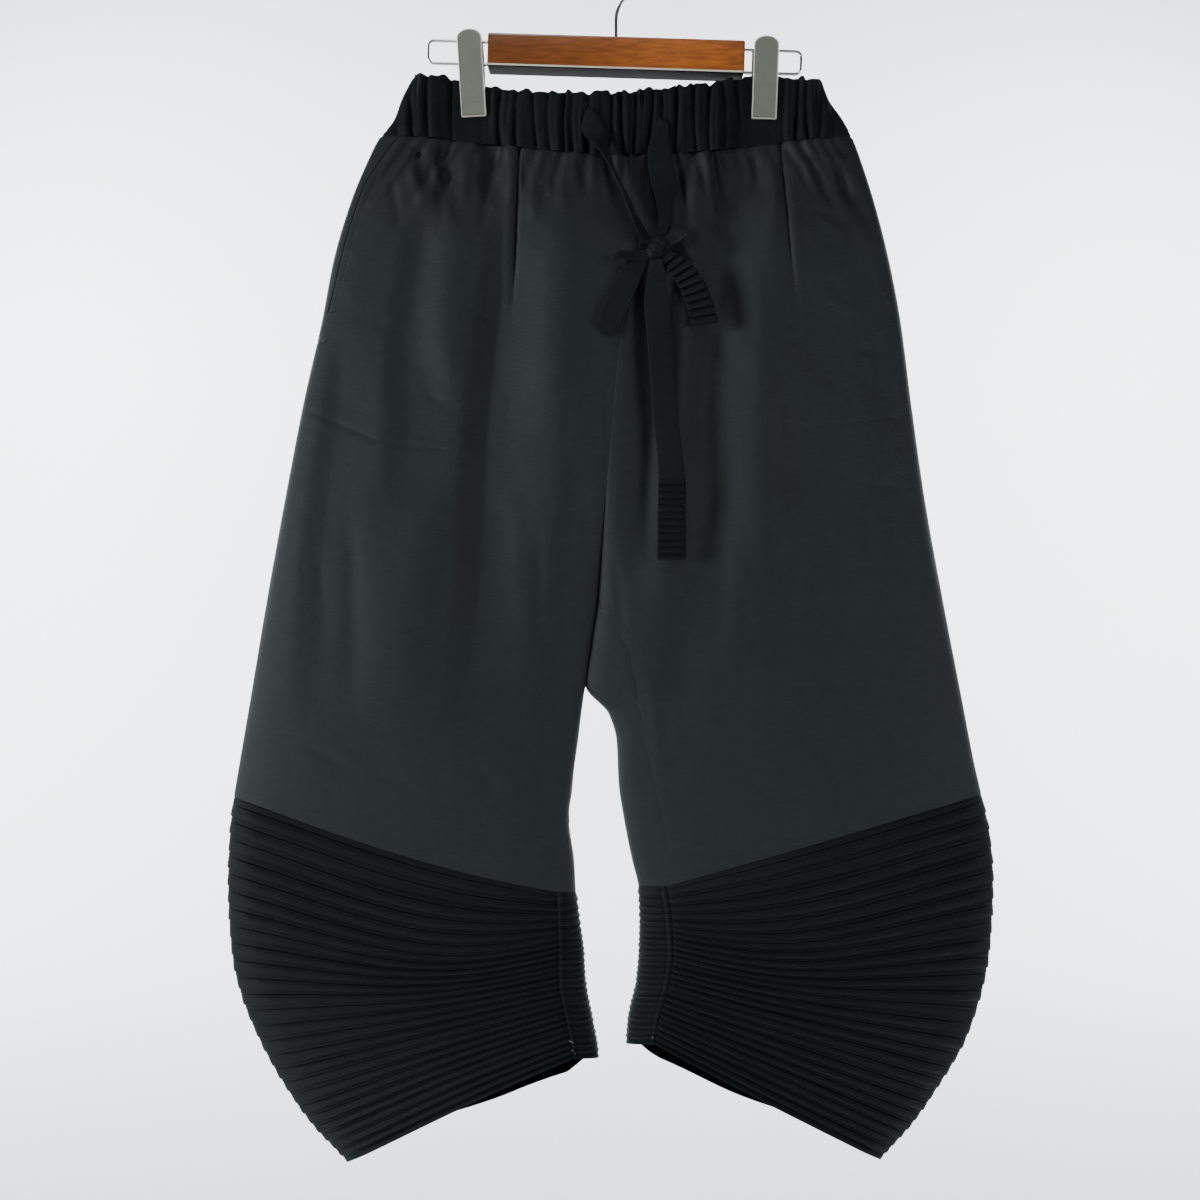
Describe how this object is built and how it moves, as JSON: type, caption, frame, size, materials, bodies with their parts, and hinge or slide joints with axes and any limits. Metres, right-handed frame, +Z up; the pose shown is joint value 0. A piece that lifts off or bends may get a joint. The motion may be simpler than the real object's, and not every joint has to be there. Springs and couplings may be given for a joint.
{
  "type": "cropped wide-leg trousers on a clip hanger",
  "caption": "Cropped wide trousers with pleated, tapering cuffs and a gathered tie waist, hanging flat from a wooden clip hanger.",
  "frame": {"origin": "underside of the hook's top, where the hanger rests on a rail", "axes": "+Z up, the way the garment hangs; -Y is the way its front faces; +X is the wearer's left"},
  "size_m": [0.5976, 0.0596, 0.9586],
  "materials": {
    "waistband": "matt black woven cloth, fine horizontal ribs",
    "right_front": "matt black woven cloth, fine horizontal ribs",
    "left_front": "matt black woven cloth, fine horizontal ribs",
    "right_back": "matt black woven cloth, fine horizontal ribs",
    "left_back": "matt black woven cloth, fine horizontal ribs",
    "right_cuff": "matt black woven cloth, fine horizontal ribs",
    "left_cuff": "matt black woven cloth, fine horizontal ribs",
    "right_pocket_bag": "matt black woven cloth, fine horizontal ribs",
    "left_pocket_bag": "matt black woven cloth, fine horizontal ribs",
    "tie_right_strand": "matt black woven cloth, fine horizontal ribs",
    "tie_left_strand": "matt black woven cloth, fine horizontal ribs",
    "tie_knot": "matt black woven cloth, fine horizontal ribs",
    "tie_right_loop": "matt black woven cloth, fine horizontal ribs",
    "tie_left_loop": "matt black woven cloth, fine horizontal ribs",
    "tie_tail": "matt black woven cloth, fine horizontal ribs",
    "tie_long_end": "matt black woven cloth, fine horizontal ribs",
    "tie_short_end": "matt black woven cloth, fine horizontal ribs",
    "hanger_bar": "dark brown, glossy varnish",
    "hanger_hook": "bright plated wire",
    "hanger_right_wire": "bright plated wire",
    "hanger_left_wire": "bright plated wire",
    "right_clip_front": "satin nickel plate",
    "right_clip_back": "satin nickel plate",
    "right_clip_slide": "satin nickel plate",
    "left_clip_front": "satin nickel plate",
    "left_clip_back": "satin nickel plate",
    "left_clip_slide": "satin nickel plate"
  },
  "bodies": {
    "root": {"waistband": "waistband", "right_front": "right_front", "left_front": "left_front", "right_back": "right_back", "left_back": "left_back", "right_cuff": "right_cuff", "left_cuff": "left_cuff", "right_pocket_bag": "right_pocket_bag", "left_pocket_bag": "left_pocket_bag", "tie_right_strand": "tie_right_strand", "tie_left_strand": "tie_left_strand", "tie_knot": "tie_knot", "tie_right_loop": "tie_right_loop", "tie_left_loop": "tie_left_loop", "tie_tail": "tie_tail", "tie_long_end": "tie_long_end", "tie_short_end": "tie_short_end", "hanger_bar": "hanger_bar", "hanger_hook": "hanger_hook", "hanger_right_wire": "hanger_right_wire", "hanger_left_wire": "hanger_left_wire", "right_clip_front": "right_clip_front", "right_clip_back": "right_clip_back", "right_clip_slide": "right_clip_slide", "left_clip_front": "left_clip_front", "left_clip_back": "left_clip_back", "left_clip_slide": "left_clip_slide"}
  },
  "joints": []
}
